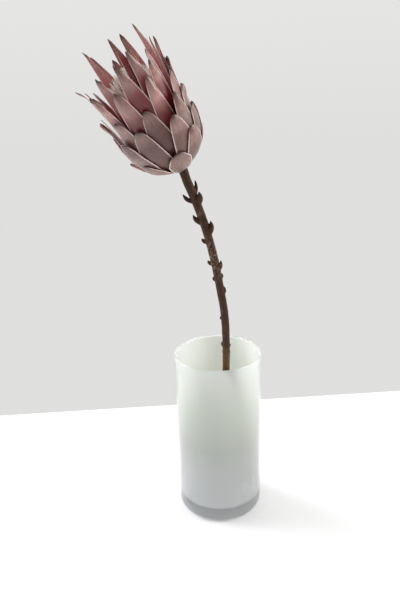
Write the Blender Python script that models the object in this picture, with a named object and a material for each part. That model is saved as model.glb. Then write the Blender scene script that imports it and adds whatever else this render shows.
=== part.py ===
"""King protea flower on its cut woody stem, standing in a cased glass cylinder vase.

Metres, +Z up.  The origin is the middle of the vase's foot, and the flower leans towards -X and -Y.
"""

import math
from dataclasses import dataclass

import bmesh
import bpy
from mathutils import Matrix, Vector

# ---- driving dimensions -------------------------------------------------------------------------
GAP = 0.0003  # between pieces that touch

VASE_RADIUS = 0.060
VASE_HEIGHT = 0.240
CASING_WALL = 0.0027
LINING_WALL = 0.0010
BASE_THICKNESS = 0.018
FOOT_ROUNDING = 0.006
RIM_ROUNDING = 0.0012

STEM_RADIUS = 0.0048
STEM_FOOT_DROP = 0.0022  # from the middle of the slanting cut end down to its lowest edge
STEM_SIDES = 10
STEM_RINGS_PER_SPAN = 3

HEAD_BASE = Vector((-0.0333, -0.1120, 0.5076))  # where the stem enters the flower head
HEAD_TILT = 30.4  # degrees from upright
HEAD_BEARING = 204.6  # degrees round from +X, the way the head leans
HEAD_DRIFT = 0.0020  # sideways bend of the head's upper half

BOWL_RADIUS = 0.0442
BOWL_HEIGHT = 0.0450  # from the pole of the bowl to its widest level
MOUTH_LEVEL = 0.105  # above this the bracts close in
MOUTH_CLOSING = 0.0075  # inward, at the tallest tip
TALLEST_TIP = 0.150
LOWEST_TIP = 0.026
RECEPTACLE_FOOT_RADIUS = 0.0052
RECEPTACLE_SPREAD = 0.55  # radius gained for each metre of height
RECEPTACLE_HEIGHT = 0.0225
RECEPTACLE_CROWN = 0.0020  # its shallow top, where the florets stand

FLORETS_RADIUS = 0.0255
FLORETS_BOTTOM_RADIUS = 0.0125
FLORETS_TOP = 0.116
FLORETS_DOME_HEIGHT = 0.022
FLORETS_FULL_HEIGHT = 0.030  # above their bottom, where they reach their full radius
FLORETS_SWELL = (0.0205, 0.012)  # a radius and its height above their bottom

BRACT_COUNT = 56
GOLDEN_ANGLE = 137.508
FIRST_BRACT_AZIMUTH = 4.0
TIP_SPACING_POWER = 0.7  # the lower tips stand further apart than the upper ones
BRACT_THICKNESS = 0.0009
LAYER_STEP = 0.0014  # thickness and clearance, for each bract lying over another
OUTER_BRACT_WIDTH = 0.033
INNER_BRACT_WIDTH = 0.019
BRACT_COLUMNS = 4
BASE_HALF_ANGLE = 24.0  # degrees, the widest that a bract's base may be
KEEL = 0.42  # how far the middle rises over the edges, for each half width
KEEL_RUN = 0.012  # length over which the keel rises to that
KEEL_SHARE = 0.95  # of the width must be clear of other bracts where the keel begins
FULL_KEEL_LEVEL = 0.080  # bracts with lower tips are flatter
DEPTH_PER_BRACT = 0.00026  # the least that each bract lies further in than the one before
FREE_MARGIN = 0.003  # above the covering bracts, where one begins to stand free
LEAST_COVER_SHARE = 0.3  # of each bract's length, always counted as covered
LEAST_FREE_TIP = 0.006  # always counted as free
COVER_SEARCH_ROWS = 40
OUTLINE_BELOW = 0.25  # share of a bract's length that its outline's curve runs on below the base
OUTLINE_END = 1.015  # and the share where it would close, just past the blunt tip
START_SEARCH_STEP = 0.0002  # in arc length, up the receptacle
START_SEARCH_STEPS = 500

# Bracts that stray from the rule, by index: turn round the head in degrees, tip height in mm,
# outward flare of the tip in mm, sideways sweep of the tip in degrees, and width factor.
IRREGULAR_BRACTS = {
    0: (5, 2, 0, 0, 0.95),
    1: (-20, -4, 3, 0, 1.0),
    2: (-15, -6, 5, 0, 0.4),
    3: (-8, 0, 0, 0, 0.9),
    5: (-18, -20, 0, 0, 0.9),
    7: (12, 8, 1, 0, 1.0),
    8: (6, 4, 1, 0, 0.9),
    10: (10, -3, 2, 0, 1.1),
    11: (15, -9, 3, 0, 0.7),
    13: (-12, -5, 1, 0, 1.05),
    15: (8, 8, 1, 0, 1.0),
    16: (13, 0, 0, 0, 0.85),
    19: (-4, -7, 0, 0, 0.9),
    21: (-9, -10, 0, 0, 1.1),
    23: (0, -6, 0, 0, 1.0),
    26: (4, 8, 0, 0, 1.0),
    28: (-6, 3, 2, 0, 1.0),
    29: (-6, 0, 0, 0, 0.9),
    31: (3, 2, 0, 0, 1.0),
    34: (5, 9, 0, 0, 1.1),
    35: (-4, 8, 0, 0, 0.75),
    32: (0, -8, 0, 0, 1.0),
    36: (-15, 3, 6, 0, 0.8),
    37: (-7, -5, 0, 0, 1.05),
    39: (7, 2, 0, 0, 1.0),
    40: (-10, -2, 0, 0, 0.8),
    41: (4, -20, 0, 0, 0.9),
    42: (8, 3, 0, 0, 1.0),
    43: (4, 8, 0, 0, 1.0),
    44: (2, -24, 0, 0, 0.9),
    45: (-18, -10, 0, 0, 1.0),
    47: (14, -9, 0, 0, 0.8),
    48: (4, 2, 0, 4, 0.9),
    49: (0, -25, 0, 0, 0.9),
    50: (-12, -8, 0, 0, 0.9),
    51: (0, -3, 0, 0, 1.0),
    52: (0, -30, 0, 0, 0.9),
    53: (0, -22, 0, 0, 0.8),
    54: (-12, -6, 4, -3, 0.9),
    55: (13, -8, 0, 0, 1.15),
}

# ---- places worked out from the dimensions ------------------------------------------------------
LINING_FLOOR = BASE_THICKNESS + GAP + LINING_WALL
BOWL_ARC = 0.5 * (BOWL_RADIUS + BOWL_HEIGHT)  # arc length for each radian of the bowl

# The stem's middle line, from its cut end on the vase's floor, past the rim that it leans on.
STEM_ROUTE = (
    Vector((-0.0280, 0.0300, LINING_FLOOR + GAP + STEM_FOOT_DROP)),
    Vector((-0.0080, 0.0000, 0.1000)),
    Vector((0.0070, -0.0290, 0.1800)),
    Vector((0.0107, -0.0493, 0.2400)),
    Vector((0.0102, -0.0690, 0.3120)),
    Vector((0.0040, -0.0810, 0.3650)),
    Vector((-0.0060, -0.0930, 0.4200)),
    Vector((-0.0182, -0.1030, 0.4640)),
    Vector((-0.0290, -0.1095, 0.4930)),
)

# Leaf stubs: height, bearing round the stem in degrees (0 is +X, -90 the front), length,
# thickness and lean away from the stem in degrees.
LEAF_STUBS = (
    (0.476, 25, 0.0130, 0.0022, 22),
    (0.470, 185, 0.0120, 0.0030, 38),
    (0.466, -25, 0.0125, 0.0038, 20),
    (0.457, 95, 0.0090, 0.0030, 30),
    (0.444, 190, 0.0120, 0.0034, 26),
    (0.443, -50, 0.0080, 0.0022, 26),
    (0.430, -5, 0.0130, 0.0040, 18),
    (0.421, 178, 0.0070, 0.0028, 48),
    (0.414, 80, 0.0090, 0.0030, 28),
    (0.404, -70, 0.0110, 0.0038, 14),
    (0.393, 182, 0.0070, 0.0028, 46),
    (0.384, -5, 0.0110, 0.0028, 20),
    (0.372, 175, 0.0050, 0.0028, 40),
    (0.372, 35, 0.0060, 0.0026, 36),
    (0.351, 2, 0.0090, 0.0022, 14),
    (0.340, 110, 0.0060, 0.0024, 30),
    (0.318, 184, 0.0040, 0.0024, 44),
    (0.275, 165, 0.0060, 0.0028, 24),
)


# ---- small helpers ------------------------------------------------------------------------------
def clear_scene():
    for thing in list(bpy.data.objects):
        bpy.data.objects.remove(thing, do_unlink=True)


def material(name, colour, roughness, metallic=0.0, transmission=0.0):
    made = bpy.data.materials.new(name)
    made.use_nodes = True
    shader = made.node_tree.nodes["Principled BSDF"]
    shader.inputs["Base Color"].default_value = (*colour, 1.0)
    shader.inputs["Roughness"].default_value = roughness
    shader.inputs["Metallic"].default_value = metallic
    shader.inputs["Transmission Weight"].default_value = transmission
    made.diffuse_color = (*colour, 1.0)
    return made


def add_object(name, mesh, surface, smooth_angle=None):
    thing = bpy.data.objects.new(name, mesh)
    bpy.context.scene.collection.objects.link(thing)
    mesh.materials.append(surface)
    if smooth_angle is not None:
        mesh.shade_smooth()
        mesh.set_sharp_from_angle(angle=math.radians(smooth_angle))
    return thing


def mesh_from(build_mesh, name):
    mesh = bpy.data.meshes.new(name)
    bmesh.ops.recalc_face_normals(build_mesh, faces=build_mesh.faces)
    build_mesh.to_mesh(mesh)
    build_mesh.free()
    return mesh


def bridge(build_mesh, lower, upper):
    """Quads between two closed rings of as many points."""
    count = len(lower)
    for i in range(count):
        j = (i + 1) % count
        build_mesh.faces.new((lower[i], lower[j], upper[j], upper[i]))


def turned_mesh(name, profile, segments, placement=Matrix.Identity(4)):
    """Turn a profile that begins and ends on the axis, given as (radius, height) points."""
    build_mesh = bmesh.new()
    rings = []
    for radius, height in profile[1:-1]:
        ring = []
        for i in range(segments):
            angle = 2 * math.pi * i / segments
            place = Vector((radius * math.cos(angle), radius * math.sin(angle), height))
            ring.append(build_mesh.verts.new(placement @ place))
        rings.append(ring)
    for lower, upper in zip(rings, rings[1:]):
        bridge(build_mesh, lower, upper)
    for ring, end in ((rings[0], profile[0]), (rings[-1], profile[-1])):
        pole = build_mesh.verts.new(placement @ Vector((0.0, 0.0, end[1])))
        for i in range(segments):
            build_mesh.faces.new((ring[i], ring[(i + 1) % segments], pole))
    return mesh_from(build_mesh, name)


def quarter_turn(middle_radius, middle_height, size, first, last, steps=3):
    """Points of a round corner, between two angles in degrees."""
    points = []
    for i in range(steps + 1):
        angle = math.radians(first + (last - first) * i / steps)
        points.append((middle_radius + size * math.cos(angle), middle_height + size * math.sin(angle)))
    return points


# ---- vase ---------------------------------------------------------------------------------------
def build_vase_casing(surface):
    """The clear outer cup: thick base, rounded foot and rim."""
    inside = VASE_RADIUS - CASING_WALL
    profile = [(0.0, 0.0)]
    profile += quarter_turn(VASE_RADIUS - FOOT_ROUNDING, FOOT_ROUNDING, FOOT_ROUNDING, -90, 0)
    profile += quarter_turn(VASE_RADIUS - RIM_ROUNDING, VASE_HEIGHT - RIM_ROUNDING, RIM_ROUNDING, 0, 90, 2)
    profile += quarter_turn(inside + RIM_ROUNDING, VASE_HEIGHT - RIM_ROUNDING, RIM_ROUNDING, 90, 180, 2)
    profile += [(inside, BASE_THICKNESS + FOOT_ROUNDING)]
    profile += quarter_turn(inside - FOOT_ROUNDING, BASE_THICKNESS + FOOT_ROUNDING, FOOT_ROUNDING, 0, -90)[1:]
    profile += [(0.0, BASE_THICKNESS)]
    return add_object("vase_casing", turned_mesh("vase_casing", profile, 48), surface, 40)


def build_vase_lining(surface):
    """The white inner cup, lying against the casing all over."""
    outside = VASE_RADIUS - CASING_WALL - GAP
    inside = outside - LINING_WALL
    bottom = BASE_THICKNESS + GAP
    top = VASE_HEIGHT - RIM_ROUNDING
    corner = FOOT_ROUNDING
    profile = [(0.0, bottom)]
    profile += quarter_turn(outside - corner, bottom + corner, corner, -90, 0)
    profile += [(outside, top), (inside, top)]
    profile += quarter_turn(inside - corner, LINING_FLOOR + corner, corner, 0, -90)
    profile += [(0.0, LINING_FLOOR)]
    return add_object("vase_lining", turned_mesh("vase_lining", profile, 48), surface, 40)


# ---- stem ---------------------------------------------------------------------------------------
def head_matrix():
    """The head's own frame: X to its front (azimuth 0), Y to its right, Z up its axis."""
    tilt = math.radians(HEAD_TILT)
    bearing = math.radians(HEAD_BEARING)
    up = Vector((math.sin(tilt) * math.cos(bearing), math.sin(tilt) * math.sin(bearing), math.cos(tilt)))
    right = Vector((0.0, 1.0, 0.0)).cross(up).normalized()
    front = right.cross(up)
    turn = Matrix((front, right, up)).transposed()
    return Matrix.Translation(HEAD_BASE) @ turn.to_4x4()


def smooth_route(points, steps):
    """Catmull-Rom curve through the points, as places along it."""
    padded = [2 * points[0] - points[1], *points, 2 * points[-1] - points[-2]]
    places = []
    for i in range(1, len(padded) - 2):
        before, start, end, after = padded[i - 1 : i + 3]
        for step in range(steps):
            t = step / steps
            places.append(
                0.5
                * (
                    2 * start
                    + (end - before) * t
                    + (2 * before - 5 * start + 4 * end - after) * t**2
                    + (3 * start - before - 3 * end + after) * t**3
                )
            )
    places.append(points[-1].copy())
    return places


def receptacle_radius(height):
    return RECEPTACLE_FOOT_RADIUS + RECEPTACLE_SPREAD * height


def stem_rings(head):
    """Middle points and radii from the cut end up through the receptacle in the head."""
    rings = [(place, STEM_RADIUS) for place in smooth_route(STEM_ROUTE, STEM_RINGS_PER_SPAN)]
    steps = 4
    for i in range(steps + 1):
        height = RECEPTACLE_HEIGHT * i / steps
        rings.append((head @ Vector((0.0, 0.0, height)), receptacle_radius(height)))
    rings.append((head @ Vector((0.0, 0.0, RECEPTACLE_HEIGHT + RECEPTACLE_CROWN)), FLORETS_BOTTOM_RADIUS))
    return rings


def sweep_mesh(name, rings, sides):
    """A round solid along middle points, its rings turned with the route and never twisted."""
    build_mesh = bmesh.new()
    side = Vector((1.0, 0.0, 0.0))
    loops = []
    for i, (place, radius) in enumerate(rings):
        along = (rings[min(i + 1, len(rings) - 1)][0] - rings[max(i - 1, 0)][0]).normalized()
        side = (side - along * side.dot(along)).normalized()
        other = along.cross(side)
        loop = []
        for j in range(sides):
            angle = 2 * math.pi * j / sides
            spoke = math.cos(angle) * side + math.sin(angle) * other
            loop.append(build_mesh.verts.new(place + radius * spoke))
        loops.append(loop)
    for lower, upper in zip(loops, loops[1:]):
        bridge(build_mesh, lower, upper)
    build_mesh.faces.new(loops[0])
    build_mesh.faces.new(loops[-1])
    return mesh_from(build_mesh, name)


def route_at_height(route, height):
    """Place and direction of the stem's middle line at a height."""
    for start, end in zip(route, route[1:]):
        if start.z <= height <= end.z:
            share = (height - start.z) / (end.z - start.z)
            return start.lerp(end, share), (end - start).normalized()
    raise ValueError("height off the stem")


def add_leaf_stub(build_mesh, place, along, bearing, length, thickness, lean):
    """A pointed nub that leaves the stem at a lean and curls back up."""
    out = Vector((math.cos(bearing), math.sin(bearing), 0.0))
    out = (out - along * out.dot(along)).normalized()
    across = along.cross(out)
    root = place + out * (STEM_RADIUS * 0.4)
    heading = (along * math.cos(lean) + out * math.sin(lean)).normalized()
    first = root + out * (STEM_RADIUS * 0.5)
    stations = (
        (root, 0.5),
        (first + heading * length * 0.25, 1.0),
        (first + heading * length * 0.60, 0.85),
        (first + heading * length * 0.88 + along * length * 0.08, 0.35),
    )
    loops = []
    for middle, fullness in stations:
        loop = []
        for i in range(6):
            angle = math.pi * i / 3
            spoke = math.cos(angle) * heading.cross(across) * 0.75 + math.sin(angle) * across
            loop.append(build_mesh.verts.new(middle + spoke * thickness * fullness * 0.75))
        loops.append(loop)
    for lower, upper in zip(loops, loops[1:]):
        bridge(build_mesh, lower, upper)
    build_mesh.faces.new(loops[0])
    build_mesh.faces.new(loops[-1])


def build_stem(head, surface):
    """The stem, its leaf stubs and the receptacle, which grow as one piece."""
    stem = add_object("stem", sweep_mesh("stem", stem_rings(head), STEM_SIDES), surface, 50)
    route = smooth_route(STEM_ROUTE, STEM_RINGS_PER_SPAN)
    for number, (height, bearing, length, thickness, lean) in enumerate(LEAF_STUBS, start=1):
        place, along = route_at_height(route, height)
        build_mesh = bmesh.new()
        add_leaf_stub(
            build_mesh, place, along, math.radians(bearing), length, thickness, math.radians(lean)
        )
        stub = add_object(f"stub_guide_{number:02d}", mesh_from(build_mesh, "stub_guide"), surface)
        stub.hide_render = True
        stub.display_type = "WIRE"
        union = stem.modifiers.new(f"stub {number}", "BOOLEAN")
        union.operation = "UNION"
        union.object = stub
    return stem


# ---- florets ------------------------------------------------------------------------------------
def build_florets(head, surface):
    """The packed white florets, as one domed mass standing on the receptacle."""
    bottom = RECEPTACLE_HEIGHT + RECEPTACLE_CROWN + GAP
    shoulder = FLORETS_TOP - FLORETS_DOME_HEIGHT
    swell_radius, swell_height = FLORETS_SWELL
    profile = [(0.0, bottom), (FLORETS_BOTTOM_RADIUS, bottom), (swell_radius, bottom + swell_height)]
    profile += [(FLORETS_RADIUS, bottom + FLORETS_FULL_HEIGHT)]
    profile += [(FLORETS_RADIUS, 0.5 * (bottom + shoulder))]
    steps = 4
    for i in range(steps):
        angle = math.radians(84 * i / steps)
        rise = FLORETS_DOME_HEIGHT * math.sin(angle)
        profile.append((FLORETS_RADIUS * math.cos(angle), shoulder + rise))
    profile.append((0.0, FLORETS_TOP))
    return add_object("florets", turned_mesh("florets", profile, 16, head), surface, 60)


# ---- bracts -------------------------------------------------------------------------------------
@dataclass
class Bract:
    """One bract: where it stands round the head and how far up its tip is."""

    index: int
    azimuth: float
    tip_height: float
    half_width: float
    widest: float  # share of the length where it is widest
    slimness: float  # 0.45 for a blunt tip, 0.8 for a long slim one
    flare: float = 0.0
    sweep: float = 0.0
    depth: float = 0.0
    start: float = 0.0  # arc lengths from the bowl's pole
    reach: float = 0.0
    free_middle: float = 0.0  # above this no other bract lies over its middle
    free_edges: float = 0.0  # and above this none over its edges


def arc_at_height(height):
    """Arc length up the outer silhouette to a height."""
    if height < BOWL_HEIGHT:
        return BOWL_ARC * math.acos(1 - height / BOWL_HEIGHT)
    return BOWL_ARC * math.pi / 2 + height - BOWL_HEIGHT


def silhouette(arc):
    """Radius and height of the head's outer surface: a round bowl, then walls that close in."""
    angle = arc / BOWL_ARC
    if angle < math.pi / 2:
        return BOWL_RADIUS * math.sin(angle), BOWL_HEIGHT * (1 - math.cos(angle))
    height = BOWL_HEIGHT + arc - BOWL_ARC * math.pi / 2
    closing = max(0.0, (height - MOUTH_LEVEL) / (TALLEST_TIP - MOUTH_LEVEL))
    return BOWL_RADIUS - MOUTH_CLOSING * closing**2, height


def layer_point(arc, depth):
    """Radius, height and outward normal of the surface that lies a depth inside the silhouette."""
    step = 0.0005
    radius, height = silhouette(arc)
    low = silhouette(max(arc - step, 0.0))
    high = silhouette(arc + step)
    run = math.hypot(high[0] - low[0], high[1] - low[1])
    out = ((high[1] - low[1]) / run, -(high[0] - low[0]) / run)
    return radius - depth * out[0], height - depth * out[1], out


def tips_below(arc):
    """Share of all the tips that lie below a place on the silhouette."""
    height = silhouette(arc)[1]
    share = max(0.0, (height - LOWEST_TIP) / (TALLEST_TIP - LOWEST_TIP))
    return min(1.0, share ** (1 / TIP_SPACING_POWER))


def width_share(share, widest, slimness):
    """Outline of a bract, 1 where it is widest: a broad base, then a taper to a point."""
    below = (share + OUTLINE_BELOW) / (widest + OUTLINE_BELOW)
    above = (OUTLINE_END - share) / (OUTLINE_END - widest)
    rise = slimness * (widest + OUTLINE_BELOW) / (OUTLINE_END - widest)
    return below**rise * above**slimness


def half_angle(bract, arc):
    """Half of the angle that a bract takes up round the head."""
    share = (arc - bract.start) / (bract.reach - bract.start)
    radius = max(silhouette(arc)[0], 0.001)
    half = bract.half_width * width_share(share, bract.widest, bract.slimness)
    return min(half / radius, math.radians(BASE_HALF_ANGLE))


def middle_angle(bract, arc):
    share = (arc - bract.start) / (bract.reach - bract.start)
    return math.radians(bract.azimuth + bract.sweep * max(share, 0.0) ** 2)


def covered_up_to(inner, outer, middle_share):
    """Highest arc at which the outer bract covers that share of the inner one, or None."""
    margin = math.radians(1.5)
    rows = COVER_SEARCH_ROWS
    bottom = max(inner.start, outer.start)
    top = min(inner.reach, outer.reach)
    for i in range(rows):
        arc = top - (top - bottom) * i / rows
        apart = middle_angle(inner, arc) - middle_angle(outer, arc)
        apart = abs((apart + math.pi) % (2 * math.pi) - math.pi)
        if apart < middle_share * half_angle(inner, arc) + half_angle(outer, arc) + margin:
            return arc
    return None


def highest_cover(inner, outers, middle_share):
    """Where the inner bract comes clear of all those that lie over it."""
    covers = [covered_up_to(inner, outer, middle_share) for outer in outers]
    clear = [arc for arc in covers if arc is not None]
    lowest = inner.start + LEAST_COVER_SHARE * (inner.reach - inner.start)
    highest = inner.reach - LEAST_FREE_TIP
    return min(max([lowest] + clear) + FREE_MARGIN, highest)


def start_on_receptacle(depth):
    """Arc length at which a bract at a depth leaves the receptacle."""
    arc = 0.004
    for _ in range(START_SEARCH_STEPS):
        radius, height, _out = layer_point(arc, depth + BRACT_THICKNESS)
        beside = radius > receptacle_radius(max(height, 0.0)) + 2 * GAP
        above = height > RECEPTACLE_HEIGHT + RECEPTACLE_CROWN + 2 * GAP
        if beside or above:
            return arc
        arc += START_SEARCH_STEP
    raise ValueError("a bract never leaves the receptacle")


def plan_bracts():
    """Every bract a golden angle round from the last one, lying just inside those it crosses."""
    bracts = []
    for index in range(BRACT_COUNT):
        share = index / (BRACT_COUNT - 1)
        turn, taller, flare, sweep, width = IRREGULAR_BRACTS.get(index, (0, 0, 0, 0, 1.0))
        height = LOWEST_TIP + (TALLEST_TIP - LOWEST_TIP) * share**TIP_SPACING_POWER
        bract = Bract(
            index=index,
            azimuth=FIRST_BRACT_AZIMUTH + GOLDEN_ANGLE * index + turn,
            tip_height=height + taller / 1000,
            half_width=0.5 * width * (OUTER_BRACT_WIDTH * (1 - share) + INNER_BRACT_WIDTH * share),
            widest=0.55 - 0.13 * share,
            slimness=0.45 + 0.33 * share,
            flare=flare / 1000,
            sweep=sweep,
        )
        bract.reach = arc_at_height(bract.tip_height)
        bract.start = start_on_receptacle(bracts[-1].depth if bracts else 0.0)
        covering = [outer for outer in bracts if covered_up_to(bract, outer, 1.0)]
        stacked = max(outer.depth for outer in covering) + LAYER_STEP if covering else 0.0
        bract.depth = max(stacked, DEPTH_PER_BRACT * index)
        bract.start = start_on_receptacle(bract.depth)
        bract.free_middle = highest_cover(bract, covering, KEEL_SHARE)
        bract.free_edges = highest_cover(bract, covering, 1.0)
        bracts.append(bract)
    return bracts


def bract_point(head, bract, deepest, arc, across):
    """Place on a bract's outer face; across runs from -1 to 1 over its width."""
    relief = deepest * tips_below(arc)
    radius, height, out = layer_point(arc, bract.depth - relief)
    keeled = min(1.0, max(0.0, (arc - bract.free_middle) / KEEL_RUN))
    opened = max(0.0, (arc - bract.free_edges) / (bract.reach - bract.free_edges))
    spread = half_angle(bract, arc)
    half = spread * radius
    keel = KEEL * min(1.0, bract.tip_height / FULL_KEEL_LEVEL) ** 2
    lift = keel * half * (1 - across**2) * keeled + bract.flare * opened**2
    radius += lift * out[0]
    height += lift * out[1]
    angle = middle_angle(bract, arc) + across * spread
    drift = HEAD_DRIFT * max(0.0, height / 0.06 - 1) ** 2
    return head @ Vector((radius * math.cos(angle), radius * math.sin(angle) - drift, height))


def bract_rows(bract):
    """Arc lengths of a bract's cross rows: the same levels for all, and closer rows at the tip."""
    quarter = BOWL_ARC * math.pi / 2
    levels = [quarter * i / 6 for i in range(1, 7)] + [quarter + 0.022 * i for i in range(1, 6)]
    length = bract.reach - bract.start
    taper = [bract.reach - length * share for share in (0.20, 0.07, 0.0)]
    inside = [arc for arc in levels if bract.start + 0.004 < arc < taper[0] - 0.004]
    return [bract.start, *inside, *taper]


def build_bract(head, bract, deepest, surface):
    build_mesh = bmesh.new()
    rows = []
    for arc in bract_rows(bract):
        row = []
        for i in range(BRACT_COLUMNS + 1):
            across = 2 * i / BRACT_COLUMNS - 1
            row.append(build_mesh.verts.new(bract_point(head, bract, deepest, arc, across)))
        rows.append(row)
    for lower, upper in zip(rows, rows[1:]):
        for i in range(BRACT_COLUMNS):
            build_mesh.faces.new((lower[i], lower[i + 1], upper[i + 1], upper[i]))
    name = f"bract_{bract.index + 1:02d}"
    mesh = bpy.data.meshes.new(name)
    build_mesh.to_mesh(mesh)
    build_mesh.free()
    made = add_object(name, mesh, surface, 50)
    shell = made.modifiers.new("thickness", "SOLIDIFY")
    shell.thickness = BRACT_THICKNESS
    shell.offset = -1.0
    return made


# ---- the whole object ---------------------------------------------------------------------------
def main():
    clear_scene()
    clear_glass = material("clear glass", (0.90, 0.94, 0.92), 0.03, transmission=0.9)
    white_glass = material("white glass", (0.80, 0.84, 0.79), 0.15)
    bark = material("bark", (0.13, 0.075, 0.045), 0.75)
    wool = material("floret wool", (0.78, 0.74, 0.68), 0.9)
    leathery = material("bract skin", (0.47, 0.30, 0.29), 0.6)

    head = head_matrix()
    build_vase_casing(clear_glass)
    build_vase_lining(white_glass)
    build_stem(head, bark)
    build_florets(head, wool)
    bracts = plan_bracts()
    deepest = max(bract.depth for bract in bracts)
    for bract in bracts:
        build_bract(head, bract, deepest, leathery)


main()
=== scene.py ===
"""Looks of the king protea in its cased glass vase: fine bracts, woolly florets, bark and glass."""
import math
import random
from dataclasses import dataclass

import bmesh
import bpy
from mathutils import Matrix, Vector


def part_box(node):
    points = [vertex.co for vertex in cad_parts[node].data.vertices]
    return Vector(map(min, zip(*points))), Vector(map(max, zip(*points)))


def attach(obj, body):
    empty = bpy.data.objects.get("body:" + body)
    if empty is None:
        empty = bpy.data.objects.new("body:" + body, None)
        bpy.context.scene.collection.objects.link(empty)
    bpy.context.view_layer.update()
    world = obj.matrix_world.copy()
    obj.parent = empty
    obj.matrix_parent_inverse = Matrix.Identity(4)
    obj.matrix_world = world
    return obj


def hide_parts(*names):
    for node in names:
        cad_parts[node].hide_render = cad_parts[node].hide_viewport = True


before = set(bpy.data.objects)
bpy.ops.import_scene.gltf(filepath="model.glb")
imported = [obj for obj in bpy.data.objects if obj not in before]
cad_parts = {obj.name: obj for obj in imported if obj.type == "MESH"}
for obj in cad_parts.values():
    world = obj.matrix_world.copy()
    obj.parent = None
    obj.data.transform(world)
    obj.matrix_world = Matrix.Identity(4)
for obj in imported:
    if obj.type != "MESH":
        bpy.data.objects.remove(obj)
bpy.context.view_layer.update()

# ---- sizes, in metres ---------------------------------------------------------------------------
VASE_LOW, VASE_HIGH = (Vector(corner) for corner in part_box("vase_casing"))
VASE_RADIUS = 0.5 * (VASE_HIGH.x - VASE_LOW.x)
VASE_HEIGHT = VASE_HIGH.z
LINING_LOW, LINING_HIGH = (Vector(corner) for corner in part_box("vase_lining"))
LINING_RADIUS = 0.5 * (LINING_HIGH.x - LINING_LOW.x)
LINING_WALL = 0.0010
FOOT_ROUNDING = 0.006
RIM_ROUNDING = 0.0012
VASE_SIDES = 144
WALL_STEPS = 16  # rings up each straight wall
GLASS_BODY = {"foot": 0.62, "wall": 0.76, "rim": 0.96}  # how much of the light the glass bends

STEM_RADIUS = 0.0048
STEM_SIDES = 28
STEM_STEPS = 12  # between two points of its route
STEM_GRAIN = 0.00058  # the finest shape kept where stubs and scars join the stem
STEM_FOOT = Vector((-0.0280, 0.0300, 0.0218))
STEM_ROUTE = (
    STEM_FOOT,
    Vector((-0.0080, 0.0000, 0.1000)),
    Vector((0.0070, -0.0290, 0.1800)),
    Vector((0.0107, -0.0493, 0.2400)),
    Vector((0.0102, -0.0690, 0.3120)),
    Vector((0.0040, -0.0810, 0.3650)),
    Vector((-0.0060, -0.0930, 0.4200)),
    Vector((-0.0182, -0.1030, 0.4640)),
    Vector((-0.0290, -0.1095, 0.4930)),
)

HEAD_BASE = Vector((-0.0333, -0.1120, 0.5076))  # where the stem enters the flower head
HEAD_TILT = 30.4  # degrees from upright
HEAD_BEARING = 204.6  # degrees round from +X, the way the head leans
HEAD_DRIFT = 0.0020  # sideways bend of the head's upper half
BOWL_RADIUS = 0.0442
BOWL_HEIGHT = 0.0450  # from the pole of the bowl to its widest level
MOUTH_LEVEL = 0.105  # above this the bracts close in
MOUTH_CLOSING = 0.0075  # inward, at the tallest tip
TALLEST_TIP = 0.150
LOWEST_TIP = 0.026
RECEPTACLE_FOOT_RADIUS = 0.0052
RECEPTACLE_SPREAD = 0.55  # radius gained for each metre of height
RECEPTACLE_HEIGHT = 0.0225
RECEPTACLE_CROWN = 0.0020  # its shallow top, where the florets stand
GAP = 0.0003  # between pieces that touch

FLORETS_RADIUS = 0.0245
FLORETS_BOTTOM_RADIUS = 0.012
FLORETS_BOTTOM = RECEPTACLE_HEIGHT + RECEPTACLE_CROWN + GAP
FLORETS_TOP = 0.108
FLORETS_DOME_HEIGHT = 0.022
FLORETS_FULL_HEIGHT = 0.030  # above their bottom, where they reach their full radius
FLORET_SINK = 0.006  # how far each one is rooted below the surface of the mass
FLORET_COUNT = 620
WOOL_COUNT = 5200
WOOL_SCATTER = 0.0017

BRACT_COUNT = 56
GOLDEN_ANGLE = 137.508
FIRST_BRACT_AZIMUTH = 4.0
TIP_SPACING_POWER = 0.7  # the lower tips stand further apart than the upper ones
BRACT_THICKNESS = 0.0009
BRACT_EDGE_THICKNESS = 0.0004
LAYER_STEP = 0.0014  # thickness and clearance, for each bract lying over another
OUTER_BRACT_WIDTH = 0.033
INNER_BRACT_WIDTH = 0.019
BASE_HALF_ANGLE = 24.0  # widest that a bract wraps round the receptacle, in degrees
OUTLINE_BELOW = 0.25  # how far below its start a bract's outline would close
OUTLINE_END = 1.015
KEEL_HEIGHT = 0.42  # of the half width, on the outermost bract
KEEL_GAIN = 0.30  # added to that towards the innermost
KEEL_RUN = 0.0156  # length over which the keel rises once it is clear of the bracts outside
KEEL_SHARE = 0.95  # part of the width that has to be clear for the keel to rise
FULL_KEEL_LEVEL = 0.080  # bracts whose tips are lower have a flatter keel
GREATEST_FLARE = 0.0042
DEPTH_PER_BRACT = 0.00026  # least depth inside the silhouette
FREE_MARGIN = 0.003
LEAST_COVER_SHARE = 0.3
LEAST_FREE_TIP = 0.006
COVER_SEARCH_ROWS = 40
START_SEARCH_STEP = 0.0002
START_SEARCH_STEPS = 500
BRACT_ROWS = 46
BRACT_COLUMNS = 18

TABLE_BACK = 0.280  # where the back edge of the table top crosses the middle
TABLE_SKEW = 0.0945  # how far back that edge runs for each metre to the right
TABLE_REACH = 3.0  # to each side and to the front
TABLE_EDGE = 0.005  # rounding of the back edge
TABLE_SKIRT = 0.030

CAMERA_PLACE = Vector((0.0, -0.75475, 0.5981))
CAMERA_DOWN = 20.41  # degrees
CAMERA_ASIDE = 1.69
CAMERA_ROLL = -1.68

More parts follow.
